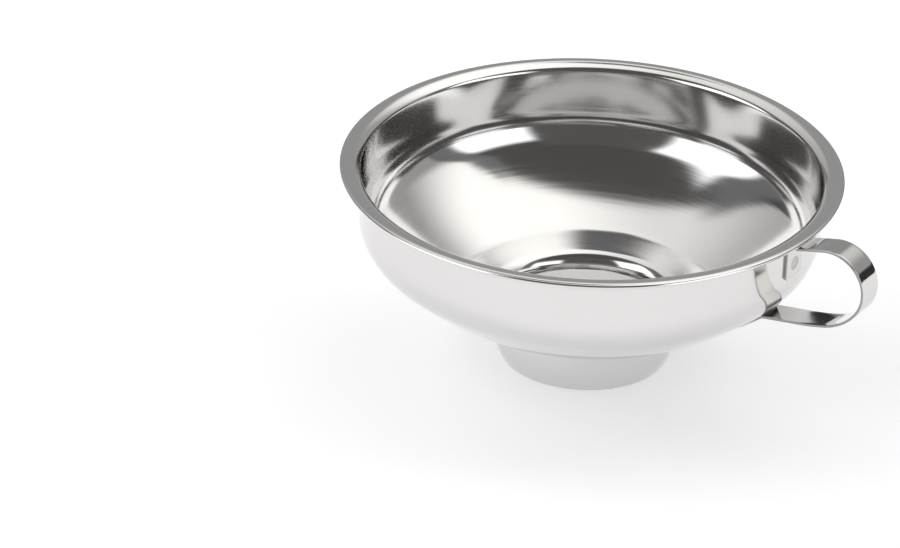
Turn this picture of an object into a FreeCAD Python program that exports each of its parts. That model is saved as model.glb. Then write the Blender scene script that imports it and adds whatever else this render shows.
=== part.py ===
import FreeCAD, Part

# Wide-mouth canning funnel in polished stainless sheet with a bent strap handle.
# Frame: origin at the centre of the spout's lower edge, +Z up the funnel's axis.
# The handle stands out along +X, its loop in the plane Y = 0.  Units are millimetres.
# Every section is drawn in a half plane as (radius from the axis, height).

import math
import os

os.makedirs("parts", exist_ok=True)

# ---- driving dimensions ----
SHEET = 0.6              # bowl sheet thickness
RIM_R = 75.0             # outer radius of the rolled lip
WALL_R = 69.3            # outside of the upright wall
CREST_Z = 62.5           # top of the rolled lip, also the total height
LIP_CREST_R = 73.0       # radius at which the lip is highest
LIP_TOP_R = 6.0          # crown radius of the lip's upper skin
LIP_INNER_TURN = 40.0    # slope of the crown where it meets the wall bend, degrees
LIP_BEND_R = 1.3         # bend from the crown down into the wall, upper skin
HEM_GAP = 0.06           # air between the two layers of the flattened hem
HEM_TURN = 27.0          # how far the under layer runs back round the crown, degrees
WALL_END_Z = 46.6        # height at which the wall starts to curve in
KNUCKLE_R = 14.8         # bowl corner, outside radius
KNUCKLE_TURN = 47.7
CONE_R = 105.8           # long shallow curve of the sloping floor, outside radius
CONE_TURN = 14.7
DISH_R = 14.0            # flattening curve before the throat, outside radius
DISH_TURN = 13.4
THROAT_R = 5.8           # shoulder into the spout, upper skin
SPOUT_R = 27.6           # outside radius of the spout's upright part
SPOUT_NOSE_R = 17.1      # curve in towards the lower edge, outside radius
SPOUT_NOSE_TURN = 28.0

STRAP_T = 0.8            # handle strip thickness
STRAP_W = 9.0            # handle strip width
LEG_ROOT = (69.3, 58.25)   # where the upper leg's middle line meets the wall
LEG_RISE = 13.8          # upward slope of the upper leg, degrees
LEG_RUN = 12.0           # from the wall to the start of the loop
LOOP_R = (11.1, 17.4, 77.2)        # three tangent curves of the loop, middle line
LOOP_TURN = (139.3, 39.4, 6.5)
UPPER_TAB = 9.9          # length of the tab down the wall
LOWER_TAB_R = 58.3       # radius of the lower tab's middle on the bowl's underside
LOWER_TAB = 9.6          # length of the lower tab
UPPER_BEND_R = 1.2
LOWER_BEND_R = 2.4
TAB_CORNER_R = 1.6       # rounded corners at both strip ends
WELD_R = 2.1             # resistance-weld nugget joining each tab
WELD_DISH = 0.18         # depth of the electrode mark


def deg(angle):
    return math.radians(angle)


def step(point, heading, length):
    """Point reached by going straight for a length."""
    return (point[0] + length * math.cos(heading), point[1] + length * math.sin(heading))


def turn(point, heading, radius, angle):
    """Point and heading after a curve; a positive angle turns left."""
    side = 1.0 if angle > 0 else -1.0
    cx = point[0] - side * radius * math.sin(heading)
    cy = point[1] + side * radius * math.cos(heading)
    after = heading + angle
    end = (cx + side * radius * math.sin(after), cy - side * radius * math.cos(after))
    return end, after


def crossing(p, heading_p, q, heading_q):
    """Where two straight lines meet."""
    dx, dy = math.cos(heading_p), math.sin(heading_p)
    ex, ey = math.cos(heading_q), math.sin(heading_q)
    run = ((q[0] - p[0]) * ey - (q[1] - p[1]) * ex) / (dx * ey - dy * ex)
    return step(p, heading_p, run)


def distance(p, q):
    return math.hypot(q[0] - p[0], q[1] - p[1])


def at(point, y=0.0):
    return FreeCAD.Vector(point[0], y, point[1])


def trace(start, heading, moves, shift):
    """Edges of a path of tangent lines and curves, moved sideways to its left by shift."""
    edges = []
    point = start
    for kind, a, b in moves:
        left = heading + deg(90)
        from_pt = step(point, left, shift)
        if kind == "line":
            point = step(point, heading, a)
            to_pt = step(point, left, shift)
            edges.append(Part.LineSegment(at(from_pt), at(to_pt)).toShape())
        else:
            mid, mid_heading = turn(point, heading, a, deg(b) / 2)
            mid_pt = step(mid, mid_heading + deg(90), shift)
            point, heading = turn(point, heading, a, deg(b))
            to_pt = step(point, heading + deg(90), shift)
            edges.append(Part.Arc(at(from_pt), at(mid_pt), at(to_pt)).toShape())
    return edges, point, heading


def strip_face(start, heading, moves, thick):
    """Section of a bent strip or sheet of even thickness about its middle line."""
    left, _, _ = trace(start, heading, moves, thick / 2)
    right, _, _ = trace(start, heading, moves, -thick / 2)
    near = Part.LineSegment(left[0].Vertexes[0].Point, right[0].Vertexes[0].Point)
    far = Part.LineSegment(left[-1].Vertexes[-1].Point, right[-1].Vertexes[-1].Point)
    edges = left + right + [near.toShape(), far.toShape()]
    wire = Part.Wire(Part.__sortEdges__(edges))
    return Part.Face(wire)


def spin(face):
    return face.revolve(FreeCAD.Vector(0, 0, 0), FreeCAD.Vector(0, 0, 1), 360)


# ---- bowl: one drawn sheet from the hemmed lip down to the spout's edge ----
half = SHEET / 2
crown_mid = LIP_TOP_R - half
hem_mid = crown_mid - SHEET - HEM_GAP
hem_fold = (crown_mid - hem_mid) / 2
crown_centre = (LIP_CREST_R, CREST_Z - LIP_TOP_R)
# angle on the crown at which the outer fold just reaches the rim radius
edge_angle = math.acos((RIM_R - hem_fold - half - LIP_CREST_R) / (crown_mid - hem_fold))
hem_angle = edge_angle + deg(HEM_TURN)
hem_start = step(crown_centre, hem_angle, hem_mid)
crown_turn = deg(90) - edge_angle + deg(LIP_INNER_TURN)
lip_moves = [
    ("curve", hem_mid, -HEM_TURN),
    ("curve", hem_fold, 180.0),
    ("curve", crown_mid, math.degrees(crown_turn)),
    ("curve", LIP_BEND_R - half, 90.0 - LIP_INNER_TURN),
]
_, lip_end, lip_heading = trace(hem_start, hem_angle - deg(90), lip_moves, 0.0)
wall_shift = WALL_R - half - lip_end[0]
crown_shifted = (hem_start[0] + wall_shift, hem_start[1])
wall_top = (lip_end[0] + wall_shift, lip_end[1])

floor_moves = [
    ("curve", KNUCKLE_R - half, -KNUCKLE_TURN),
    ("curve", CONE_R - half, -CONE_TURN),
    ("curve", DISH_R - half, -DISH_TURN),
]
wall_end = (WALL_R - half, WALL_END_Z)
_, floor_end, floor_heading = trace(wall_end, deg(-90), floor_moves, 0.0)

# the upright spout line that the shoulder has to meet; its outer skin ends at height 0
nose_mid = SPOUT_NOSE_R - half
nose_top = (SPOUT_R - half, SPOUT_NOSE_R * math.sin(deg(SPOUT_NOSE_TURN)))
spout_heading = deg(270)
corner = crossing(floor_end, floor_heading, nose_top, spout_heading)
throat_turn = spout_heading - deg(360) - floor_heading
throat_mid = THROAT_R - half
throat_cut = throat_mid * math.tan(throat_turn / 2)
floor_run = distance(floor_end, corner) - throat_cut
spout_run = distance(corner, nose_top) - throat_cut
TIP_SPARE = 0.8          # sheet left below the edge, trimmed flat afterwards

bowl_moves = lip_moves + [("line", wall_top[1] - WALL_END_Z, 0)] + floor_moves + [
    ("line", floor_run, 0),
    ("curve", throat_mid, math.degrees(throat_turn)),
    ("line", spout_run, 0),
    ("curve", nose_mid, -SPOUT_NOSE_TURN),
    ("line", TIP_SPARE, 0),
]
bowl = spin(strip_face(crown_shifted, hem_angle - deg(90), bowl_moves, SHEET))
floor_slab = Part.makeCylinder(60, 10, FreeCAD.Vector(0, 0, -10))
bowl = bowl.cut(floor_slab)

# ---- filled outer form of wall and floor, used to fit the strap's tabs ----
outer_moves = [("line", 8.0, 0)] + floor_moves
outer_start = (WALL_R - half, WALL_END_Z + 8.0)
skin, skin_end, _ = trace(outer_start, deg(-90), outer_moves, half)
skin_top = skin[0].Vertexes[0].Point
skin_low = skin[-1].Vertexes[-1].Point
TOP_OF_FORM = 61.0
rise = Part.LineSegment(at((0, TOP_OF_FORM)), at((skin_top.x, TOP_OF_FORM))).toShape()
side = Part.LineSegment(at((skin_top.x, TOP_OF_FORM)), skin_top).toShape()
under = Part.LineSegment(skin_low, at((0, skin_low.z))).toShape()
axis_edge = Part.LineSegment(at((0, skin_low.z)), at((0, TOP_OF_FORM))).toShape()
form = spin(Part.Face(Part.Wire(Part.__sortEdges__([rise, side] + skin + [under, axis_edge]))))

# ---- handle: one strip, tab up the wall, loop, tab along the bowl's underside ----
sag = WALL_R - math.sqrt(WALL_R ** 2 - (STRAP_W / 2) ** 2)
tab_line_r = WALL_R - sag + STRAP_T / 2
rise_heading = deg(LEG_RISE)
knee = crossing((tab_line_r, 0.0), deg(90), LEG_ROOT, rise_heading)
knee_turn = rise_heading - deg(90)
knee_cut = UPPER_BEND_R * math.tan(-knee_turn / 2)
strap_start = (tab_line_r, knee[1] - knee_cut - UPPER_TAB)
leg_end = step(LEG_ROOT, rise_heading, LEG_RUN)
loop_moves = [("curve", radius, -angle) for radius, angle in zip(LOOP_R, LOOP_TURN)]
_, loop_end, loop_heading = trace(leg_end, rise_heading, loop_moves, 0.0)

# middle of the lower tab on the long floor curve
cone_start, cone_heading = turn(wall_end, deg(-90), KNUCKLE_R - half, -deg(KNUCKLE_TURN))
cone_centre = step(cone_start, cone_heading - deg(90), CONE_R - half)
tab_angle = -math.acos((LOWER_TAB_R - cone_centre[0]) / CONE_R)
tab_sag = sag * math.cos(tab_angle)
tab_mid = step(cone_centre, tab_angle, CONE_R + STRAP_T / 2 - tab_sag - 0.1)
tab_heading = tab_angle - deg(90)
hip = crossing(loop_end, loop_heading, tab_mid, tab_heading)
hip_turn = (tab_heading - loop_heading) % deg(360)
hip_cut = LOWER_BEND_R * math.tan(hip_turn / 2)

strap_moves = [
    ("line", UPPER_TAB, 0),
    ("curve", UPPER_BEND_R, math.degrees(knee_turn)),
    ("line", distance(knee, leg_end) - knee_cut, 0),
] + loop_moves + [
    ("line", distance(loop_end, hip) - hip_cut, 0),
    ("curve", LOWER_BEND_R, math.degrees(hip_turn)),
    ("line", distance(hip, tab_mid) - hip_cut + LOWER_TAB / 2, 0),
]
strap_face = strip_face(strap_start, deg(90), strap_moves, STRAP_T)
strap = strap_face.extrude(FreeCAD.Vector(0, STRAP_W, 0))
strap.translate(FreeCAD.Vector(0, -STRAP_W / 2, 0))

# rounded corners at the two cut ends
tab_end = step(tab_mid, tab_heading, LOWER_TAB / 2)
end_edges = []
for edge in strap.Edges:
    length = edge.Length
    mid = edge.CenterOfMass
    near_end = min(distance((mid.x, mid.z), strap_start), distance((mid.x, mid.z), tab_end))
    if abs(length - STRAP_T) < 0.01 and near_end < 0.05 and abs(abs(mid.y) - STRAP_W / 2) < 0.01:
        end_edges.append(edge)
strap = strap.makeFillet(TAB_CORNER_R, end_edges)
strap = strap.cut(form)


# ---- weld nuggets: a button through each tab, dished on its face ----
def nugget(foot, outward):
    """Button standing on the bowl at foot, filling the tab's thickness."""
    direction = FreeCAD.Vector(math.cos(outward), 0, math.sin(outward))
    base = at(foot) - direction * 1.0
    rod = Part.makeCylinder(WELD_R, 1.0 + STRAP_T - 0.02, base, direction)
    dish_r = (WELD_R ** 2 * 0.7 + WELD_DISH ** 2) / (2 * WELD_DISH)
    crown = at(foot) + direction * (STRAP_T - 0.02 + dish_r - WELD_DISH)
    return rod.cut(Part.makeSphere(dish_r, crown)).cut(form)


upper_foot = (WALL_R - sag, strap_start[1] + UPPER_TAB * 0.46)
lower_foot = step(tab_mid, tab_angle + deg(180), STRAP_T / 2)
weld_upper = nugget(upper_foot, 0.0)
weld_lower = nugget(lower_foot, tab_angle)
strap = strap.cut(Part.makeCylinder(WELD_R, 3, at(upper_foot) - FreeCAD.Vector(1, 0, 0),
                                    FreeCAD.Vector(1, 0, 0)))
low_dir = FreeCAD.Vector(math.cos(tab_angle), 0, math.sin(tab_angle))
strap = strap.cut(Part.makeCylinder(WELD_R, 3, at(lower_foot) - low_dir, low_dir))

for name, shape in (
    ("bowl", bowl),
    ("handle_strap", strap),
    ("weld_upper", weld_upper),
    ("weld_lower", weld_lower),
):
    solid = shape.Solids[0] if len(shape.Solids) == 1 else shape
    print(name, "solids", len(shape.Solids), "valid", shape.isValid(), "volume", round(shape.Volume, 1))
    solid.exportStep("parts/" + name + ".step")
    box = shape.BoundBox
    print("   ", [round(v, 2) for v in (box.XMin, box.XMax, box.YMin, box.YMax, box.ZMin, box.ZMax)])
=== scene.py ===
"""Wide-mouth canning funnel in polished stainless sheet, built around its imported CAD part."""
import math

import bmesh
import bpy
from bpy.props import FloatProperty, FloatVectorProperty, IntProperty, PointerProperty
from mathutils import Matrix, Vector


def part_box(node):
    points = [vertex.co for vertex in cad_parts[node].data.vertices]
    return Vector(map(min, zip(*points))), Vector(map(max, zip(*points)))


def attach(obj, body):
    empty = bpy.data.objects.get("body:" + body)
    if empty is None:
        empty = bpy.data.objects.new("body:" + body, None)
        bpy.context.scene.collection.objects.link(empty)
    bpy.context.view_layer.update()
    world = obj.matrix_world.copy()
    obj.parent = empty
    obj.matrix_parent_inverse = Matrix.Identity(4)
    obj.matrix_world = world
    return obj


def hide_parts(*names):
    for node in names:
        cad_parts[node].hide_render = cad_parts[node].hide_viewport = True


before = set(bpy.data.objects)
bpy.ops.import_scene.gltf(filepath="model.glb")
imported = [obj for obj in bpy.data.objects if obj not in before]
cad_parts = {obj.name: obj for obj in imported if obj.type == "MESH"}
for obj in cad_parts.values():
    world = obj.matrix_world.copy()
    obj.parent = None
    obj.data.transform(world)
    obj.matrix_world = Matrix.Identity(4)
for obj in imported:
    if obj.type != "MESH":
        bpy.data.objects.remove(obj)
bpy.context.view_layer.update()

bl_info = {
    "name": "Canning Funnel",
    "version": (1, 0, 0),
    "blender": (4, 5, 0),
    "location": "3D View > Sidebar > Funnel",
    "description": "Builds a rolled-lip canning funnel with a strap handle, and a small studio for it",
    "category": "Add Mesh",
}

BODY = "root"
MM = 0.001

BOWL_LOW, BOWL_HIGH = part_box("bowl")
STRAP_LOW, STRAP_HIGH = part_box("handle_strap")


# ---------------------------------------------------------------- sizes and finishes

class FunnelSizes(bpy.types.PropertyGroup):
    """Sizes of the drawn bowl and of its handle strip."""

    rim_radius: FloatProperty(
        name="Rim radius", description="Axis to the outside of the rolled lip",
        default=75.0 * MM, min=0.02, unit="LENGTH", precision=5)
    height: FloatProperty(
        name="Height", description="Spout edge to the top of the lip",
        default=BOWL_HIGH.z - BOWL_LOW.z, min=0.01, unit="LENGTH", precision=5)
    sheet: FloatProperty(
        name="Sheet", description="Thickness of the bowl's sheet",
        default=0.6 * MM, min=0.0001, unit="LENGTH", precision=5)
    wall_radius: FloatProperty(
        name="Wall radius", description="Outside of the upright wall",
        default=69.3 * MM, min=0.01, unit="LENGTH", precision=5)
    wall_end: FloatProperty(
        name="Wall end", description="Height at which the wall starts to curve in",
        default=46.6 * MM, unit="LENGTH", precision=5)
    lip_crest_radius: FloatProperty(
        name="Lip crest", description="Radius at which the lip is highest",
        default=73.0 * MM, unit="LENGTH", precision=5)
    lip_crown: FloatProperty(
        name="Lip crown", description="Crown radius of the lip's upper skin",
        default=6.0 * MM, unit="LENGTH", precision=5)
    spout_radius: FloatProperty(
        name="Spout radius", description="Outside of the spout's upright part",
        default=27.6 * MM, min=0.005, unit="LENGTH", precision=5)
    strip_width: FloatProperty(
        name="Strip width", description="Width of the handle strip",
        default=STRAP_HIGH.y - STRAP_LOW.y, min=0.001, unit="LENGTH", precision=5)
    strip_thickness: FloatProperty(
        name="Strip thickness", description="Thickness of the handle strip",
        default=0.8 * MM, min=0.0001, unit="LENGTH", precision=5)
    strip_edge: FloatProperty(
        name="Strip edge", description="Rounding of the strip's long edges",
        default=0.22 * MM, min=0.00001, unit="LENGTH", precision=5)
    segments: IntProperty(
        name="Segments", description="Steps round the bowl", default=240, min=48, max=512)


class FunnelFinish(bpy.types.PropertyGroup):
    """Colours and polish of the steel."""

    bowl_colour: FloatVectorProperty(
        name="Bowl steel", description="Reflected colour of the drawn sheet",
        subtype="COLOR", size=3, min=0, max=1, default=(0.705, 0.696, 0.690))
    strip_colour: FloatVectorProperty(
        name="Handle steel", description="Reflected colour of the handle strip",
        subtype="COLOR", size=3, min=0, max=1, default=(0.655, 0.648, 0.640))
    weld_colour: FloatVectorProperty(
        name="Weld steel", description="Reflected colour of the weld nuggets",
        subtype="COLOR", size=3, min=0, max=1, default=(0.50, 0.495, 0.485))
    straw_colour: FloatVectorProperty(
        name="Heat tint", description="Straw tint left round a spot weld",
        subtype="COLOR", size=3, min=0, max=1, default=(0.46, 0.38, 0.27))
    bowl_roughness: FloatProperty(
        name="Bowl roughness", description="Blur of the polished sheet",
        subtype="FACTOR", default=0.10, min=0, max=1)
    strip_roughness: FloatProperty(
        name="Handle roughness", description="Blur of the handle strip",
        subtype="FACTOR", default=0.07, min=0, max=1)
    turning_pitch: FloatProperty(
        name="Turning pitch", description="Typical width of a polishing line",
        default=0.55 * MM, min=0.00005, unit="LENGTH", precision=5)


class FunnelStudio(bpy.types.PropertyGroup):
    """Floor, lights and camera."""

    floor_colour: FloatVectorProperty(
        name="Floor", description="Colour of the plain pale floor",
        subtype="COLOR", size=3, min=0, max=1, default=(0.78, 0.78, 0.79))
    camera_distance: FloatProperty(
        name="Camera distance", description="Camera to the middle of the lip",
        default=1188.87 * MM, min=0.1, unit="LENGTH")
    camera_elevation: FloatProperty(
        name="Camera elevation", description="Height of the view above the horizon",
        default=math.radians(26.744), unit="ROTATION")
    handle_turn: FloatProperty(
        name="Handle turn", description="How far the handle stands to the right of the view",
        default=math.radians(59.0), unit="ROTATION")
    lens: FloatProperty(
        name="Lens", description="Focal length of the camera in millimetres",
        default=160.0, min=10, unit="CAMERA")


# ---------------------------------------------------------------- node writing

class Value:
    """A number socket that takes part in arithmetic; each sign adds one Math node."""

    def __init__(self, bench, socket):
        self.bench = bench
        self.socket = socket

    def math(self, operation, *others):
        """This value and the others through one Math node."""
        values = dict(enumerate((self, *others)))
        return self.bench.value("ShaderNodeMath", {"operation": operation}, values)

    def flipped(self, operation, other):
        return self.bench.value("ShaderNodeMath", {"operation": operation}, {0: other, 1: self})

    def __add__(self, other):
        return self.math("ADD", other)

    def __radd__(self, other):
        return self.flipped("ADD", other)

    def __sub__(self, other):
        return self.math("SUBTRACT", other)

    def __rsub__(self, other):
        return self.flipped("SUBTRACT", other)

    def __mul__(self, other):
        return self.math("MULTIPLY", other)

    def __rmul__(self, other):
        return self.flipped("MULTIPLY", other)

    def __truediv__(self, other):
        return self.math("DIVIDE", other)

    def __rtruediv__(self, other):
        return self.flipped("DIVIDE", other)

    def root(self):
        return self.math("SQRT")

    def size(self):
        return self.math("ABSOLUTE")

    def sine(self):
        return self.math("SINE")

    def cosine(self):
        return self.math("COSINE")

    def within(self, low, high):
        return self.math("MAXIMUM", low).math("MINIMUM", high)

    def ease(self, start, end, low=0.0, high=1.0):
        """Smooth step from low to high as the value goes from start to end."""
        return self.bench.value(
            "ShaderNodeMapRange", {"interpolation_type": "SMOOTHSTEP"},
            {"Value": self, "From Min": start, "From Max": end, "To Min": low, "To Max": high})


class Bench:
    """Adds nodes to one tree."""

    def __init__(self, tree):
        self.tree = tree
        tree.nodes.clear()

    def node(self, kind, settings=None, sockets=None):
        """One node: its settings first, then the values or links of its sockets."""
        made = self.tree.nodes.new(kind)
        for name, setting in (settings or {}).items():
            setattr(made, name, setting)
        for key, given in (sockets or {}).items():
            socket = made.inputs[key]
            if isinstance(given, Value):
                given = given.socket
            if isinstance(given, bpy.types.NodeSocket):
                self.tree.links.new(given, socket)
            elif socket.type == "RGBA" and len(given) == 3:
                socket.default_value = (*given, 1.0)
            else:
                socket.default_value = given
        return made

    def value(self, kind, settings=None, sockets=None, out=0):
        return Value(self, self.node(kind, settings, sockets).outputs[out])

    def vector(self, x, y, z):
        return self.node("ShaderNodeCombineXYZ", None, {0: x, 1: y, 2: z}).outputs[0]

    def parts(self, vector):
        split = self.node("ShaderNodeSeparateXYZ", None, {0: vector})
        return [Value(self, socket) for socket in split.outputs]

    def blend(self, share, first, second):
        """Colour between two colours."""
        mixed = self.node(
            "ShaderNodeMix", {"data_type": "RGBA"},
            {"Factor": share, 6: first, 7: second})
        return mixed.outputs[2]

    def noise(self, vector, scale=1.0, detail=2.0, rough=0.5):
        return self.value(
            "ShaderNodeTexNoise", {"noise_dimensions": "3D"},
            {"Vector": vector, "Scale": scale, "Detail": detail, "Roughness": rough}, "Fac")


def new_material(name):
    material = bpy.data.materials.get(name) or bpy.data.materials.new(name)
    material.use_nodes = True
    return material, Bench(material.node_tree)


def finish_metal(bench, colour, roughness, height, depth):
    """Metal shader whose fine relief is height, from 0 to 1, over depth metres."""
    bump = bench.node("ShaderNodeBump", None, {"Strength": 1.0, "Distance": depth, "Height": height})
    shader = bench.node(
        "ShaderNodeBsdfPrincipled", None,
        {"Base Color": colour, "Metallic": 1.0, "Roughness": roughness, "Normal": bump.outputs["Normal"]})
    bench.node("ShaderNodeOutputMaterial", None, {"Surface": shader.outputs[0]})


# ---------------------------------------------------------------- steels

# spacing of the ring pattern, as shares of the turning pitch's frequency
GROOVE_SHARE = 0.42
DRIFT_SHARE = 0.16
# wiping marks and haze, in waves per metre
BOWL_WIPES = 26.0
BOWL_HAZE = 9.0
STRIP_HAZE = 45.0
WELD_GRAIN = 2600.0
# drawing lines of the strip, in waves per metre along it and across it
STRIP_LINES = (90.0, 4200.0)
# relief of each steel, in metres
BOWL_RELIEF = 4.5e-6
STRIP_RELIEF = 8e-7
WELD_RELIEF = 4e-6
LEAST_ROUGH, MOST_ROUGH = 0.03, 0.4


def ring_noise(bench, ring, frequency, wander, last, detail, rough):
    """Noise drawn out into rings round the axis.

    The rings drift by wander as they go round, and last is the slow third coordinate.
    """
    radius, height, across, along = ring
    return bench.noise(
        bench.vector(radius * frequency + across * wander, height * frequency + along * wander, last),
        1.0, detail, rough)


def bowl_steel(finish):
    """Sheet spun and buffed round its axis: fine rings, soft haze and faint wiping marks."""
    material, bench = new_material("bowl_steel")
    place = bench.node("ShaderNodeTexCoord").outputs["Object"]
    x, y, z = bench.parts(place)
    radius = (x * x + y * y + 1e-8).root()
    across = x / radius
    along = y / radius
    ring = (radius, z, across, along)
    pitch = 1.0 / finish.turning_pitch
    rings = ring_noise(bench, ring, pitch, 2.2, across * along * 3.0, 3.0, 0.6)
    grooves = ring_noise(bench, ring, pitch * GROOVE_SHARE, 0.7, across * 1.3, 2.0, 0.55)
    drift = ring_noise(bench, ring, pitch * DRIFT_SHARE, 1.1, along * 1.7, 1.0, 0.5)
    wipes = bench.noise(place, BOWL_WIPES, 3.0, 0.55)
    haze = bench.noise(place, BOWL_HAZE, 2.0, 0.5)
    fine = rings.ease(0.30, 0.75)
    roughness = finish.bowl_roughness - 0.03 + fine * 0.035 + drift * 0.02 + haze * 0.02
    cloud = (wipes * 0.35 + haze * 0.35 + fine * 0.30).within(0.0, 1.0)
    base = Vector(finish.bowl_colour)
    colour = bench.blend(cloud, base * 0.975, base * 1.02)
    # the upright wall and the lip are buffed finer than the floor
    buffed = radius.ease(66.0 * MM, 69.0 * MM, 1.0, 0.3)
    relief = (rings * 0.7 + grooves * 1.5 + drift * 0.6) * buffed
    finish_metal(bench, colour, roughness.within(LEAST_ROUGH, MOST_ROUGH), relief, BOWL_RELIEF)
    return material


def strap_steel(finish, width):
    """Slit strip with a bright rolled face, faint drawing lines along it and duller cut edges."""
    material, bench = new_material("strap_steel")
    strip = bench.node("ShaderNodeAttribute", {"attribute_name": "strip"}).outputs["Vector"]
    along, across, face = bench.parts(strip)
    slow, quick = STRIP_LINES
    lines = bench.noise(bench.vector(along * slow, across * quick, face * quick), 1.0, 3.0, 0.6)
    place = bench.node("ShaderNodeTexCoord").outputs["Object"]
    haze = bench.noise(place, STRIP_HAZE, 2.0, 0.5)
    fine = lines.ease(0.3, 0.75)
    roughness = finish.strip_roughness - 0.02 + fine * 0.03 + haze * 0.03
    base = Vector(finish.strip_colour)
    rolled = bench.blend((fine * 0.5 + haze * 0.5).within(0.0, 1.0), base * 0.97, base * 1.02)
    cut = across.size().ease(width / 2 - 0.12 * MM, width / 2 - 0.02 * MM)
    colour = bench.blend(cut, rolled, base * 0.5)
    roughness = roughness.within(LEAST_ROUGH, MOST_ROUGH) + cut * 0.12
    finish_metal(bench, colour, roughness, lines, STRIP_RELIEF)
    return material


def weld_steel(finish, name, centre, span):
    """Pressed nugget face: matt grey steel, straw tint towards its edge."""
    material, bench = new_material(name)
    place = bench.node("ShaderNodeTexCoord").outputs["Object"]
    reach = bench.value(
        "ShaderNodeVectorMath", {"operation": "DISTANCE"}, {0: place, 1: centre}, "Value")
    ring = (reach / span).ease(0.55, 1.0)
    grain = bench.noise(place, WELD_GRAIN, 3.0, 0.6)
    stain = (ring * (0.45 + grain * 0.5)).within(0.0, 1.0)
    colour = bench.blend(stain, Vector(finish.weld_colour), Vector(finish.straw_colour))
    roughness = 0.24 + grain * 0.12 + ring * 0.05
    finish_metal(bench, colour, roughness, grain, WELD_RELIEF)
    return material


# ---------------------------------------------------------------- section drawing

def step(point, heading, length):
    return (point[0] + length * math.cos(heading), point[1] + length * math.sin(heading))


def crossing(p, heading_p, q, heading_q):
    """Where two straight lines meet."""
    dx, dy = math.cos(heading_p), math.sin(heading_p)
    ex, ey = math.cos(heading_q), math.sin(heading_q)
    run = ((q[0] - p[0]) * ey - (q[1] - p[1]) * ex) / (dx * ey - dy * ex)
    return step(p, heading_p, run)


def gap(p, q):
    return math.hypot(q[0] - p[0], q[1] - p[1])


def draw(start, heading, moves, shift=0.0, turn_step=4.0, length_step=1.2 * MM):
    """Points of a path of tangent lines and curves, moved to its left by shift.

    A move is (radius, degrees), or (length, None) for a straight run.
    Gives the points, and the middle line's end and heading.
    """
    points = []
    point = start

    def put():
        points.append(step(point, heading + math.pi / 2, shift))

    put()
    for size, degrees in moves:
        if degrees is None:
            count = max(1, math.ceil(size / length_step))
            for _ in range(count):
                point = step(point, heading, size / count)
                put()
            continue
        angle = math.radians(degrees)
        side = 1.0 if angle > 0 else -1.0
        count = max(2, math.ceil(max(abs(degrees) / turn_step, abs(angle) * size / length_step)))
        for _ in range(count):
            cx = point[0] - side * size * math.sin(heading)
            cy = point[1] + side * size * math.cos(heading)
            heading += angle / count
            point = (cx + side * size * math.sin(heading), cy - side * size * math.cos(heading))
            put()
    return points, point, heading


# curves below the upright wall and at the spout's edge, as (outside radius, degrees)
KNUCKLE = (14.8 * MM, 47.7)
CONE = (105.8 * MM, 14.7)
DISH = (14.0 * MM, 13.4)
NOSE = (17.1 * MM, 28.0)
THROAT_RADIUS = 5.8 * MM
# how far the lip's crown turns down inside, and the small bend from there into the wall
LIP_INNER_TURN = 40.0
LIP_BEND = 1.3 * MM
# the lip's edge is folded back under it, a hair away from it
HEM_GAP = 0.06 * MM
HEM_TURN = 27.0
EDGE_EASE = 0.25


def bowl_path(sizes):
    """Start, heading and moves of the sheet's middle line, from the hem to the spout's edge."""
    half = sizes.sheet / 2
    crown = sizes.lip_crown - half
    hem = crown - sizes.sheet - HEM_GAP
    fold = (crown - hem) / 2
    centre = (sizes.lip_crest_radius, sizes.height - sizes.lip_crown)
    edge = math.acos((sizes.rim_radius - fold - half - centre[0]) / (crown - fold))
    hem_angle = edge + math.radians(HEM_TURN)
    heading = hem_angle - math.pi / 2
    start = step(centre, hem_angle, hem)
    lip = [(hem, -HEM_TURN), (fold, 180.0),
           (crown, 90 - math.degrees(edge) + LIP_INNER_TURN), (LIP_BEND - half, 90 - LIP_INNER_TURN)]
    _, lip_end, _ = draw(start, heading, lip)
    aside = sizes.wall_radius - half - lip_end[0]
    floor = [(KNUCKLE[0] - half, -KNUCKLE[1]), (CONE[0] - half, -CONE[1]), (DISH[0] - half, -DISH[1])]
    _, floor_end, floor_heading = draw(
        (sizes.wall_radius - half, sizes.wall_end), -math.pi / 2, floor)
    nose_top = (sizes.spout_radius - half, NOSE[0] * math.sin(math.radians(NOSE[1])))
    corner = crossing(floor_end, floor_heading, nose_top, -math.pi / 2)
    throat_turn = -math.pi / 2 - floor_heading
    throat = THROAT_RADIUS - half
    cut = throat * math.tan(throat_turn / 2)
    moves = lip + [(lip_end[1] - sizes.wall_end, None)] + floor + [
        (gap(floor_end, corner) - cut, None), (throat, math.degrees(throat_turn)),
        (gap(corner, nose_top) - cut, None), (NOSE[0] - half, -NOSE[1])]
    return (start[0] + aside, start[1]), heading, moves


def eased_corner(before, corner, after, reach, count=5):
    """Points that round a corner off over reach on both sides."""
    a = Vector(corner).lerp(Vector(before), reach / gap(before, corner))
    b = Vector(corner).lerp(Vector(after), reach / gap(after, corner))
    middle = Vector(corner)
    found = []
    for index in range(count + 1):
        t = index / count
        found.append(tuple(a * (1 - t) ** 2 + middle * (2 * t * (1 - t)) + b * t ** 2))
    return found


def bowl_section(sizes):
    """Closed section of the sheet, both skins, with its two cut edges eased."""
    start, heading, moves = bowl_path(sizes)
    half = sizes.sheet / 2
    outer, _, _ = draw(start, heading, moves, half)
    inner, _, last = draw(start, heading, moves, -half)
    slope = inner[-1][1] / -math.sin(last)
    inner.append(step(inner[-1], last, slope))
    reach = sizes.sheet * EDGE_EASE
    tip = eased_corner(outer[-2], outer[-1], inner[-1], reach) + eased_corner(
        outer[-1], inner[-1], inner[-2], reach)
    hem = eased_corner(inner[1], inner[0], outer[0], reach) + eased_corner(
        inner[0], outer[0], outer[1], reach)
    return outer[1:-1] + tip + inner[1:-1][::-1] + hem


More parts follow.
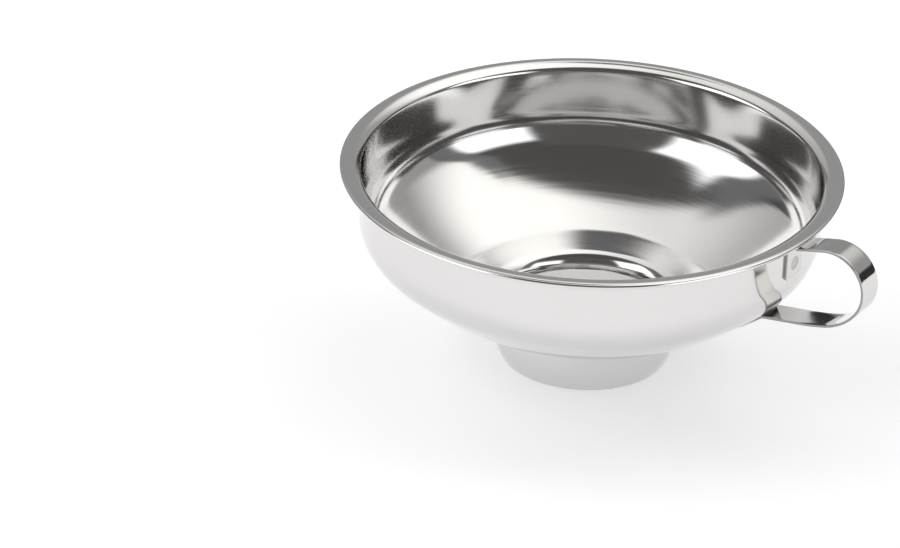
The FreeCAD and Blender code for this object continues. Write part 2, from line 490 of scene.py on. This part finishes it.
# the strip's upper leg leaves the wall here and rises outwards
LEG_ROOT = (69.3 * MM, 58.25 * MM)
LEG_RISE = math.radians(13.8)
LEG_RUN = 12.0 * MM
# curves of the loop, as (radius, degrees)
LOOP = ((11.1 * MM, -139.3), (17.4 * MM, -39.4), (77.2 * MM, -6.5))
UPPER_TAB = 9.9 * MM
LOWER_TAB_RADIUS = 58.3 * MM
LOWER_TAB = 9.6 * MM
UPPER_BEND = 1.2 * MM
LOWER_BEND = 2.4 * MM
TAB_CORNER = 1.6 * MM
# how far the lower tab is pressed onto the sheet
SEAT = 0.1 * MM


def strap_path(sizes):
    """Middle line of the handle strip, from the end of the upper tab to the end of the lower one."""
    half_sheet = sizes.sheet / 2
    half_strip = sizes.strip_thickness / 2
    wall = sizes.wall_radius
    sag = wall - math.sqrt(wall ** 2 - (sizes.strip_width / 2) ** 2)
    tab_line = wall - sag + half_strip
    knee = crossing((tab_line, 0.0), math.pi / 2, LEG_ROOT, LEG_RISE)
    knee_turn = LEG_RISE - math.pi / 2
    knee_cut = UPPER_BEND * math.tan(-knee_turn / 2)
    start = (tab_line, knee[1] - knee_cut - UPPER_TAB)
    leg_end = step(LEG_ROOT, LEG_RISE, LEG_RUN)
    _, loop_end, loop_heading = draw(leg_end, LEG_RISE, LOOP)
    _, cone_start, cone_heading = draw(
        (wall - half_sheet, sizes.wall_end), -math.pi / 2, [(KNUCKLE[0] - half_sheet, -KNUCKLE[1])])
    centre = step(cone_start, cone_heading - math.pi / 2, CONE[0] - half_sheet)
    tab_angle = -math.acos((LOWER_TAB_RADIUS - centre[0]) / CONE[0])
    tab_middle = step(centre, tab_angle, CONE[0] + half_strip - sag * math.cos(tab_angle) - SEAT)
    tab_heading = tab_angle - math.pi / 2
    hip = crossing(loop_end, loop_heading, tab_middle, tab_heading)
    hip_turn = (tab_heading - loop_heading) % (2 * math.pi)
    hip_cut = LOWER_BEND * math.tan(hip_turn / 2)
    moves = [(UPPER_TAB, None), (UPPER_BEND, math.degrees(knee_turn)),
             (gap(knee, leg_end) - knee_cut, None), *LOOP,
             (gap(loop_end, hip) - hip_cut, None), (LOWER_BEND, math.degrees(hip_turn)),
             (gap(hip, tab_middle) - hip_cut + LOWER_TAB / 2, None)]
    return start, math.pi / 2, moves


# ---------------------------------------------------------------- geometry trees

MERGE_REACH = 1e-7


def tree_with(name, inputs):
    """Geometry tree with its named inputs; gives the tree, its input node and socket identifiers."""
    tree = bpy.data.node_groups.new(name, "GeometryNodeTree")
    tree.interface.new_socket("Drawing", in_out="INPUT", socket_type="NodeSocketGeometry")
    marks = {}
    for label, kind in inputs:
        marks[label] = tree.interface.new_socket(label, in_out="INPUT", socket_type=kind).identifier
    tree.interface.new_socket("Piece", in_out="OUTPUT", socket_type="NodeSocketGeometry")
    bench = Bench(tree)
    return bench, bench.node("NodeGroupInput"), marks


def sheet_of_faces(bench, rows, columns):
    """Plain grid of rows by columns points, and the row and column of each point."""
    grid = bench.node(
        "GeometryNodeMeshGrid", None, {"Vertices X": rows, "Vertices Y": columns}).outputs["Mesh"]
    index = bench.value("GeometryNodeInputIndex")
    row = (index / columns + 1e-4).math("FLOOR")
    column = index - row * columns
    return grid, row, column


def sample(bench, geometry, field, index):
    """The field's vector at one point of the geometry."""
    return bench.node(
        "GeometryNodeSampleIndex", {"data_type": "FLOAT_VECTOR", "domain": "POINT"},
        {"Geometry": geometry, "Value": field, "Index": index}).outputs[0]


def close_tree(bench, geometry, material):
    """The tree's last nodes: smooth faces, real mesh, material, output."""
    smooth = bench.node("GeometryNodeSetShadeSmooth", None, {"Geometry": geometry}).outputs[0]
    real = bench.node("GeometryNodeRealizeInstances", None, {"Geometry": smooth}).outputs[0]
    dressed = bench.node(
        "GeometryNodeSetMaterial", None, {"Geometry": real, "Material": material}).outputs[0]
    bench.node("NodeGroupOutput", None, {0: dressed})


def revolve_tree():
    """Turns a closed section, drawn as (radius, 0, height), once round the vertical axis."""
    bench, given, marks = tree_with("revolve_section", [
        ("Segments", "NodeSocketInt"), ("Section Points", "NodeSocketInt"),
        ("Steel", "NodeSocketMaterial")])
    segments = Value(bench, given.outputs["Segments"])
    points = Value(bench, given.outputs["Section Points"])
    grid, row, column = sheet_of_faces(bench, segments + 1.0, points + 1.0)
    place = bench.node("GeometryNodeInputPosition").outputs[0]
    drawn = sample(bench, given.outputs["Drawing"], place, column.math("MODULO", points))
    radius, _, height = bench.parts(drawn)
    angle = row * (2 * math.pi) / segments
    turned = bench.vector(radius * angle.cosine(), radius * angle.sine(), height)
    placed = bench.node("GeometryNodeSetPosition", None, {"Geometry": grid, "Position": turned})
    closed = bench.node(
        "GeometryNodeMergeByDistance", None, {"Geometry": placed.outputs[0], "Distance": MERGE_REACH})
    close_tree(bench, closed.outputs[0], given.outputs["Steel"])
    return bench.tree, marks


def strip_tree():
    """Carries a strip's section along its path.

    The drawing holds the path's points, each with its side direction and half width, and after
    them the section's points as (share of the half width, offset across, offset of the face).
    """
    bench, given, marks = tree_with("strip_on_path", [
        ("Stations", "NodeSocketInt"), ("Section Points", "NodeSocketInt"),
        ("Steel", "NodeSocketMaterial")])
    stations = Value(bench, given.outputs["Stations"])
    points = Value(bench, given.outputs["Section Points"])
    grid, row, column = sheet_of_faces(bench, stations, points + 1.0)
    drawing = given.outputs["Drawing"]
    place = bench.node("GeometryNodeInputPosition").outputs[0]
    reading = {"data_type": "FLOAT_VECTOR"}
    side = bench.node("GeometryNodeInputNamedAttribute", reading, {"Name": "side"}).outputs[0]
    measure = bench.node("GeometryNodeInputNamedAttribute", reading, {"Name": "measure"}).outputs[0]
    middle_x, _, middle_z = bench.parts(sample(bench, drawing, place, row))
    side_x, _, side_z = bench.parts(sample(bench, drawing, side, row))
    half_width, run, _ = bench.parts(sample(bench, drawing, measure, row))
    section = sample(bench, drawing, place, stations + column.math("MODULO", points))
    share, inset, offset = bench.parts(section)
    across = share * half_width + inset
    laid = bench.vector(middle_x + side_x * offset, across, middle_z + side_z * offset)
    placed = bench.node("GeometryNodeSetPosition", None, {"Geometry": grid, "Position": laid})
    marked = bench.node(
        "GeometryNodeStoreNamedAttribute", {"data_type": "FLOAT_VECTOR", "domain": "POINT"},
        {"Geometry": placed.outputs[0], "Name": "strip", "Value": bench.vector(run, across, offset)})
    closed = bench.node(
        "GeometryNodeMergeByDistance", None, {"Geometry": marked.outputs[0], "Distance": MERGE_REACH})
    close_tree(bench, closed.outputs[0], given.outputs["Steel"])
    return bench.tree, marks


# ---------------------------------------------------------------- mesh helpers

def link(name, mesh):
    made = bpy.data.objects.new(name, mesh)
    bpy.context.scene.collection.objects.link(made)
    return made


def remove(piece):
    mesh = piece.data
    bpy.data.objects.remove(piece)
    bpy.data.meshes.remove(mesh)


def baked(source, name):
    """Plain mesh object of what the source's modifiers make; the source is removed."""
    graph = bpy.context.evaluated_depsgraph_get()
    mesh = bpy.data.meshes.new_from_object(source.evaluated_get(graph), depsgraph=graph)
    mesh.name = name
    remove(source)
    return link(name, mesh)


def grown(name, drawing, tree, values):
    """Piece that a geometry tree makes of a drawing; values go by the sockets' identifiers."""
    source = link(name + "_drawing", drawing)
    modifier = source.modifiers.new("shape", "NODES")
    modifier.node_group = tree
    for identifier, value in values.items():
        modifier[identifier] = value
    made = baked(source, name)
    if len(made.data.polygons) < 8:
        raise RuntimeError(name + ": the geometry tree made no faces")
    return made


def outward(mesh):
    """Turns the faces outwards when the shell is inside out."""
    shell = bmesh.new()
    shell.from_mesh(mesh)
    if shell.calc_volume(signed=True) < 0:
        bmesh.ops.reverse_faces(shell, faces=shell.faces)
    shell.to_mesh(mesh)
    shell.free()


def settle(piece, sharp_angle):
    """Smooth faces with true edges kept, then the piece joins the body."""
    mesh = piece.data
    for face in mesh.polygons:
        face.use_smooth = True
    mesh.set_sharp_from_angle(angle=math.radians(sharp_angle))
    mesh.update()
    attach(piece, BODY)


# ---------------------------------------------------------------- operators for the pieces

class FUNNEL_OT_bowl(bpy.types.Operator):
    """Spin the bowl, its rolled lip and its spout from one sheet."""

    bl_idname = "funnel.bowl"
    bl_label = "Bowl"

    def execute(self, context):
        sizes = context.scene.funnel_sizes
        section = bowl_section(sizes)
        drawing = bpy.data.meshes.new("bowl_section")
        drawing.from_pydata([(r, 0.0, z) for r, z in section], [], [])
        tree, marks = revolve_tree()
        steel = bowl_steel(context.scene.funnel_finish)
        bowl = grown("funnel_bowl", drawing, tree, {
            marks["Segments"]: sizes.segments, marks["Section Points"]: len(section),
            marks["Steel"]: steel})
        outward(bowl.data)
        settle(bowl, 35)
        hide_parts("bowl")
        return {"FINISHED"}


STRIP_COLUMNS = 8
EDGE_STEPS = 6
PATH_STEPS = {"turn_step": 3.0, "length_step": 0.9 * MM}


def strip_section(sizes):
    """Section of the strip with rounded long edges, as (share, offset across, face offset)."""
    ease = sizes.strip_edge
    half = sizes.strip_thickness / 2
    found = []
    for face in (1, -1):
        for index in range(STRIP_COLUMNS + 1):
            share = face * (1 - 2 * index / STRIP_COLUMNS)
            edge = ease if index in (0, STRIP_COLUMNS) else 0.0
            found.append((share, -math.copysign(edge, share), face * half))
        corner = []
        for index in range(1, EDGE_STEPS):
            angle = math.pi / 2 * index / EDGE_STEPS
            corner.append((face * ease * (1 - math.sin(angle)), half - ease * (1 - math.cos(angle))))
        corner.append((0.0, half - ease))
        found += [(-face, inset, face * offset) for inset, offset in corner]
        found += [(-face, inset, -face * offset) for inset, offset in reversed(corner)]
    return found


def strip_drawing(sizes):
    """Path and section of the handle strip as loose points with their attributes."""
    path, _, _ = draw(*strap_path(sizes), **PATH_STEPS)
    left, _, _ = draw(*strap_path(sizes), shift=1.0, **PATH_STEPS)
    runs = [0.0]
    for one, two in zip(path, path[1:]):
        runs.append(runs[-1] + gap(one, two))
    # closer stations where the tabs' corners round off
    rows = []
    fine = [TAB_CORNER * (1 - math.cos(math.radians(a))) for a in range(0, 90, 9)]
    plain = [run for run in runs if TAB_CORNER < run < runs[-1] - TAB_CORNER]
    stops = sorted(fine + plain + [runs[-1] - run for run in fine])
    place = 0
    for stop in stops:
        while place < len(runs) - 2 and runs[place + 1] < stop:
            place += 1
        share = (stop - runs[place]) / (runs[place + 1] - runs[place])
        point = Vector(path[place]).lerp(Vector(path[place + 1]), share)
        side = Vector(left[place]).lerp(Vector(left[place + 1]), share) - point
        near = min(stop, runs[-1] - stop)
        half = sizes.strip_width / 2
        if near < TAB_CORNER:
            half += math.sqrt(max(0.0, TAB_CORNER ** 2 - (TAB_CORNER - near) ** 2)) - TAB_CORNER
        rows.append((point, side.normalized(), half, stop))
    section = strip_section(sizes)
    points = [(p.x, 0.0, p.y) for p, _, _, _ in rows] + section
    drawing = bpy.data.meshes.new("strip_drawing")
    drawing.from_pydata(points, [], [])
    side = drawing.attributes.new("side", "FLOAT_VECTOR", "POINT")
    measure = drawing.attributes.new("measure", "FLOAT_VECTOR", "POINT")
    for index, (_, direction, half, run) in enumerate(rows):
        side.data[index].vector = (direction.x, 0.0, direction.y)
        measure.data[index].vector = (half, run, 0.0)
    return drawing, len(rows), len(section)


SKIN_GAP = 0.01 * MM
# the lip hangs outside the wall above this height, so its skin is left out
BELOW_LIP = 55.0 * MM
BESIDE_WALL = 0.3 * MM
DEEPEST_SEAT = 1.0 * MM


def lift_off_sheet(mesh, sizes):
    """Moves the strip's points that lie in the bowl's sheet out onto its outer skin."""
    skin, _, _ = draw(*bowl_path(sizes), sizes.sheet / 2 + SKIN_GAP)
    skin = [p for p in skin if LOWER_TAB_RADIUS - LOWER_TAB < p[0] < sizes.wall_radius + 2 * SKIN_GAP
            and p[1] < BELOW_LIP + 1.0 * MM]
    for vertex in mesh.vertices:
        place = (math.hypot(vertex.co.x, vertex.co.y), vertex.co.z)
        if place[0] > sizes.wall_radius + BESIDE_WALL or place[1] > BELOW_LIP:
            continue
        best = None
        for one, two in zip(skin, skin[1:]):
            run = Vector(two) - Vector(one)
            share = max(0.0, min(1.0, (Vector(place) - Vector(one)).dot(run) / run.length_squared))
            foot = Vector(one) + run * share
            away = Vector(place) - foot
            if best is None or away.length < best[0]:
                best = (away.length, foot, run.x * away.y - run.y * away.x)
        # the sheet lies to the right of the skin's run, so a point there is inside it
        if best[0] < DEEPEST_SEAT and best[2] < 0:
            scale = best[1].x / place[0]
            vertex.co = (vertex.co.x * scale, vertex.co.y * scale, best[1].y)


def close_ends(mesh):
    """Caps the strip's two open ends."""
    shell = bmesh.new()
    shell.from_mesh(mesh)
    rims = [edge for edge in shell.edges if edge.is_boundary]
    bmesh.ops.edgeloop_fill(shell, edges=rims)
    bmesh.ops.recalc_face_normals(shell, faces=shell.faces)
    shell.to_mesh(mesh)
    shell.free()


def lower_tab_axis(sizes):
    """Direction square to the lower tab."""
    _, _, heading = draw(*strap_path(sizes))
    return Vector((math.cos(heading + math.pi / 2), 0.0, math.sin(heading + math.pi / 2)))


NUGGET_GAP = 0.005 * MM


def punch(piece, node, axis):
    """Opens the piece along an axis where a weld nugget fills it; gives the cutter."""
    name = node + "_cutter"
    low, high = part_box(node)
    middle = (low + high) / 2
    radius = (high.y - low.y) / 2 + NUGGET_GAP
    cutter_mesh = bpy.data.meshes.new(name)
    shell = bmesh.new()
    turn = Vector((0.0, 0.0, 1.0)).rotation_difference(axis).to_matrix().to_4x4()
    bmesh.ops.create_cone(
        shell, cap_ends=True, segments=64, radius1=radius, radius2=radius, depth=3 * MM,
        matrix=Matrix.Translation(middle) @ turn)
    shell.to_mesh(cutter_mesh)
    shell.free()
    cutter = link(name, cutter_mesh)
    modifier = piece.modifiers.new(name, "BOOLEAN")
    modifier.operation = "DIFFERENCE"
    modifier.solver = "EXACT"
    modifier.object = cutter
    return cutter


class FUNNEL_OT_handle(bpy.types.Operator):
    """Bend the handle strip and fit its two tabs to the bowl."""

    bl_idname = "funnel.handle"
    bl_label = "Handle Strip"

    def execute(self, context):
        sizes = context.scene.funnel_sizes
        drawing, stations, points = strip_drawing(sizes)
        tree, marks = strip_tree()
        steel = strap_steel(context.scene.funnel_finish, sizes.strip_width)
        strap = grown("funnel_handle", drawing, tree, {
            marks["Stations"]: stations, marks["Section Points"]: points, marks["Steel"]: steel})
        close_ends(strap.data)
        lift_off_sheet(strap.data, sizes)
        cutters = [punch(strap, "weld_upper", Vector((1.0, 0.0, 0.0))),
                   punch(strap, "weld_lower", lower_tab_axis(sizes))]
        strap = baked(strap, "handle_strip")
        for cutter in cutters:
            remove(cutter)
        outward(strap.data)
        settle(strap, 28)
        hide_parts("handle_strap")
        return {"FINISHED"}


class FUNNEL_OT_welds(bpy.types.Operator):
    """Give the two weld nuggets their pressed, lightly tinted steel."""

    bl_idname = "funnel.welds"
    bl_label = "Welds"

    def execute(self, context):
        for node in ("weld_upper", "weld_lower"):
            low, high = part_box(node)
            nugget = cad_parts[node]
            steel = weld_steel(
                context.scene.funnel_finish, node + "_steel", (low + high) / 2, (high.y - low.y) / 2)
            for place in nugget.material_slots:
                place.material = steel
        return {"FINISHED"}


# ---------------------------------------------------------------- studio

# Soft panels round the funnel, as seen from it. Bearings run from the camera towards its right and
# elevations from the horizon, both in degrees; 180 is straight behind the funnel.
WARM = (1.0, 0.988, 0.962)
PLAIN = (1.0, 1.0, 1.0)
COOL = (0.975, 0.985, 1.0)
DUSK = (1.0, 0.955, 0.935)
PANELS = (
    # low and high bearing, low and high elevation, edge softness of both, brightness, tint
    ("back_middle", 160, 202, 8, 40, 10, 8, 0.41, PLAIN),
    ("back_post", 175.5, 198, 51, 64, 8, 7, 0.16, COOL),
    ("camera_gap", -42, 35, -8, 60, 10, 5, 0.13, DUSK),
    ("left_box", -93, -42, -12, 55, 9, 9, 2.1, COOL),
    ("right_box", 34, 75, -12, 42, 9, 12, 2.1, COOL),
    ("left_gap", -116, -97, 8, 52, 8, 12, 0.20, COOL),
    ("right_gap", 77, 89.5, 10, 62, 5, 8, 0.22, COOL),
    ("left_back_gap", 202, 218, 8, 17, 6, 3, 0.28, DUSK),
    ("right_back_gap", 102, 160, -12, 15, 9, 4, 0.045, DUSK),
)
# brightness of the back at its foot and above, and the elevations it rises between
BACK_LEFT = (0.58, 1.12, 20.0, 62.0)
BACK_RIGHT = (0.46, 1.62, 27.0, 52.0)
# the roof's open part ends at a bowed line: farthest back, bow, sideways place of the bow, straight from
ROOF_EDGE = (0.075, 0.35, 0.25, 0.75)
ROOF_SOFTNESS = 0.05
ROOF_LOWEST = (1.0, 2.0)
ROOF_GAP_LEVEL = 0.105
# the back passes from its left to its right side between these sideways parts of the direction
BACK_CHANGE = (-0.40, 0.24)
TENT_STRENGTH = 0.915
SEEN_BACKDROP = 1.0
TO_DEGREES = 180 / math.pi


def studio_world(studio):
    """Light tent as a function of direction: pale back and roof, two soft boxes, dark gaps."""
    world = bpy.data.worlds.get("light_tent") or bpy.data.worlds.new("light_tent")
    world.use_nodes = True
    bench = Bench(world.node_tree)
    direction = bench.node("ShaderNodeTexCoord").outputs["Generated"]
    x, y, z = bench.parts(direction)
    turn = -studio.handle_turn
    behind = (y.math("ARCTAN2", x) * TO_DEGREES - math.degrees(turn) + 720.0).math("MODULO", 360.0)
    bearing = (behind + 180.0).math("MODULO", 360.0) - 180.0
    height = z.within(-1.0, 1.0).math("ARCSINE") * TO_DEGREES
    sideways = y * math.cos(turn) - x * math.sin(turn)
    forwards = x * math.cos(turn) + y * math.sin(turn)
    left_level, right_level = [
        height.ease(start, end, low, high) for low, high, start, end in (BACK_LEFT, BACK_RIGHT)]
    level = left_level + (right_level - left_level) * sideways.ease(*BACK_CHANGE)
    light = bench.node(
        "ShaderNodeVectorMath", {"operation": "SCALE"}, {0: WARM, "Scale": level}).outputs[0]
    # the roof's open part: all that lies on the camera's side of its edge
    upright = z.math("MAXIMUM", 0.05)
    farthest, bow, middle, straight = ROOF_EDGE
    aside = (sideways / upright).math("MINIMUM", straight) - middle
    past_edge = forwards / upright - farthest + aside * aside * bow
    roof_gap = past_edge.ease(-ROOF_SOFTNESS, ROOF_SOFTNESS) * height.ease(*ROOF_LOWEST)
    light = bench.blend(roof_gap, light, tuple(ROOF_GAP_LEVEL * part for part in DUSK))
    for _, start, end, low, top_end, soft_side, soft_top, level, tint in PANELS:
        around = behind if end > 180 else bearing
        mask = (around.ease(start - soft_side / 2, start + soft_side / 2)
                * around.ease(end - soft_side / 2, end + soft_side / 2, 1.0, 0.0)
                * height.ease(low - soft_top / 2, low + soft_top / 2)
                * height.ease(top_end - soft_top / 2, top_end + soft_top / 2, 1.0, 0.0))
        light = bench.blend(mask, light, tuple(level * part for part in tint))
    tent = bench.node("ShaderNodeBackground", None, {"Color": light, "Strength": TENT_STRENGTH})
    plain = bench.node("ShaderNodeBackground", None, {"Color": PLAIN, "Strength": SEEN_BACKDROP})
    seen = bench.node("ShaderNodeLightPath").outputs["Is Camera Ray"]
    both = bench.node(
        "ShaderNodeMixShader", None, {0: seen, 1: tent.outputs[0], 2: plain.outputs[0]})
    bench.node("ShaderNodeOutputWorld", None, {"Surface": both.outputs[0]})
    bpy.context.scene.world = world


FLOOR_GLOW = 0.34
FLOOR_RADIUS = 6.0
FLOOR_GAP = 0.02 * MM


def studio_floor(studio):
    """Large round sheet of even matt paper over a light table, see-through from below."""
    material, bench = new_material("studio_paper")
    paper = bench.node(
        "ShaderNodeBsdfPrincipled", None,
        {"Base Color": studio.floor_colour, "Roughness": 0.9, "Specular IOR Level": 0.1,
         "Emission Color": PLAIN, "Emission Strength": FLOOR_GLOW})
    clear = bench.node("ShaderNodeBsdfTransparent")
    under = bench.node("ShaderNodeNewGeometry").outputs["Backfacing"]
    both = bench.node("ShaderNodeMixShader", None, {0: under, 1: paper.outputs[0], 2: clear.outputs[0]})
    bench.node("ShaderNodeOutputMaterial", None, {"Surface": both.outputs[0]})
    mesh = bpy.data.meshes.new("studio_floor")
    shell = bmesh.new()
    bmesh.ops.create_circle(shell, cap_ends=True, segments=96, radius=FLOOR_RADIUS)
    shell.to_mesh(mesh)
    shell.free()
    mesh.materials.append(material)
    floor = link("studio_floor", mesh)
    floor.location.z = BOWL_LOW.z - FLOOR_GAP


# name, degrees round from the camera towards its right, watts
LIGHTS = (("left_light", -112, 9.0), ("right_light", 100, 6.0))
LIGHT_ELEVATION = math.radians(36)
LIGHT_DISTANCE = 1.6
LIGHT_SIDE = 1.3


def soft_light(name, bearing, watts):
    """Square area light that aims at the funnel and doesn't show in the steel."""
    lamp = bpy.data.lights.new(name, "AREA")
    lamp.shape = "SQUARE"
    lamp.size = LIGHT_SIDE
    lamp.energy = watts
    made = bpy.data.objects.new(name, lamp)
    reach = math.cos(LIGHT_ELEVATION)
    back = Vector((math.cos(bearing) * reach, math.sin(bearing) * reach, math.sin(LIGHT_ELEVATION)))
    made.location = back * LIGHT_DISTANCE
    made.rotation_euler = back.to_track_quat("Z", "Y").to_euler()
    made.visible_glossy = False
    made.visible_camera = False
    bpy.context.scene.collection.objects.link(made)


# the camera looks a little to the left of the funnel and is slightly tilted
CAMERA_YAW = math.radians(-2.223)
CAMERA_PITCH = math.radians(28.358)
CAMERA_ROLL = math.radians(1.712)
RIM_PLANE = 61.9 * MM


def studio_camera(studio):
    """Camera above the near side of the bowl, aimed so that the funnel stands right of the middle."""
    sin, cos = math.sin, math.cos
    forward = Vector((sin(CAMERA_YAW) * cos(CAMERA_PITCH), cos(CAMERA_YAW) * cos(CAMERA_PITCH),
                      -sin(CAMERA_PITCH)))
    right = Vector((cos(CAMERA_YAW), -sin(CAMERA_YAW), 0.0))
    up = right.cross(forward)
    rolled_right = right * cos(CAMERA_ROLL) + up * sin(CAMERA_ROLL)
    rolled_up = up * cos(CAMERA_ROLL) - right * sin(CAMERA_ROLL)
    place = Vector((0.0, -studio.camera_distance * cos(studio.camera_elevation),
                    studio.camera_distance * sin(studio.camera_elevation) + RIM_PLANE))
    turn = Matrix.Rotation(math.pi / 2 - studio.handle_turn, 4, "Z")
    pose = Matrix((rolled_right, rolled_up, -forward)).transposed().to_4x4()
    pose.translation = place
    data = bpy.data.cameras.new("studio_camera")
    data.lens = studio.lens
    data.sensor_width = 36.0
    data.clip_end = 50.0
    camera = bpy.data.objects.new("studio_camera", data)
    camera.matrix_world = turn @ pose
    bpy.context.scene.collection.objects.link(camera)
    bpy.context.scene.camera = camera


class FUNNEL_OT_studio(bpy.types.Operator):
    """Set up the pale floor, the soft light and the camera."""

    bl_idname = "funnel.studio"
    bl_label = "Studio"

    def execute(self, context):
        studio = context.scene.funnel_studio
        studio_floor(studio)
        studio_world(studio)
        for name, aside, watts in LIGHTS:
            soft_light(name, math.radians(aside) - studio.handle_turn, watts)
        studio_camera(studio)
        settings = context.scene.view_settings
        settings.view_transform = "Standard"
        settings.look = "None"
        return {"FINISHED"}


# ---------------------------------------------------------------- add-on

class FUNNEL_PT_panel(bpy.types.Panel):
    """Sidebar list of the funnel's steps and sizes."""

    bl_label = "Canning Funnel"
    bl_idname = "FUNNEL_PT_panel"
    bl_space_type = "VIEW_3D"
    bl_region_type = "UI"
    bl_category = "Funnel"

    def draw(self, context):
        scene = context.scene
        for operator in OPERATORS:
            self.layout.operator(operator.bl_idname)
        for group in (scene.funnel_sizes, scene.funnel_finish, scene.funnel_studio):
            column = self.layout.column(align=True)
            for name in group.__annotations__:
                column.prop(group, name)


GROUPS = (FunnelSizes, FunnelFinish, FunnelStudio)
OPERATORS = (FUNNEL_OT_bowl, FUNNEL_OT_handle, FUNNEL_OT_welds, FUNNEL_OT_studio)


def register():
    for kind in GROUPS + OPERATORS + (FUNNEL_PT_panel,):
        bpy.utils.register_class(kind)
    bpy.types.Scene.funnel_sizes = PointerProperty(type=FunnelSizes)
    bpy.types.Scene.funnel_finish = PointerProperty(type=FunnelFinish)
    bpy.types.Scene.funnel_studio = PointerProperty(type=FunnelStudio)


def unregister():
    del bpy.types.Scene.funnel_studio
    del bpy.types.Scene.funnel_finish
    del bpy.types.Scene.funnel_sizes
    for kind in reversed(GROUPS + OPERATORS + (FUNNEL_PT_panel,)):
        bpy.utils.unregister_class(kind)


def main():
    """Builds the funnel and its studio."""
    register()
    bpy.ops.funnel.bowl()
    bpy.ops.funnel.handle()
    bpy.ops.funnel.welds()
    bpy.ops.funnel.studio()


if __name__ == "__main__":
    main()
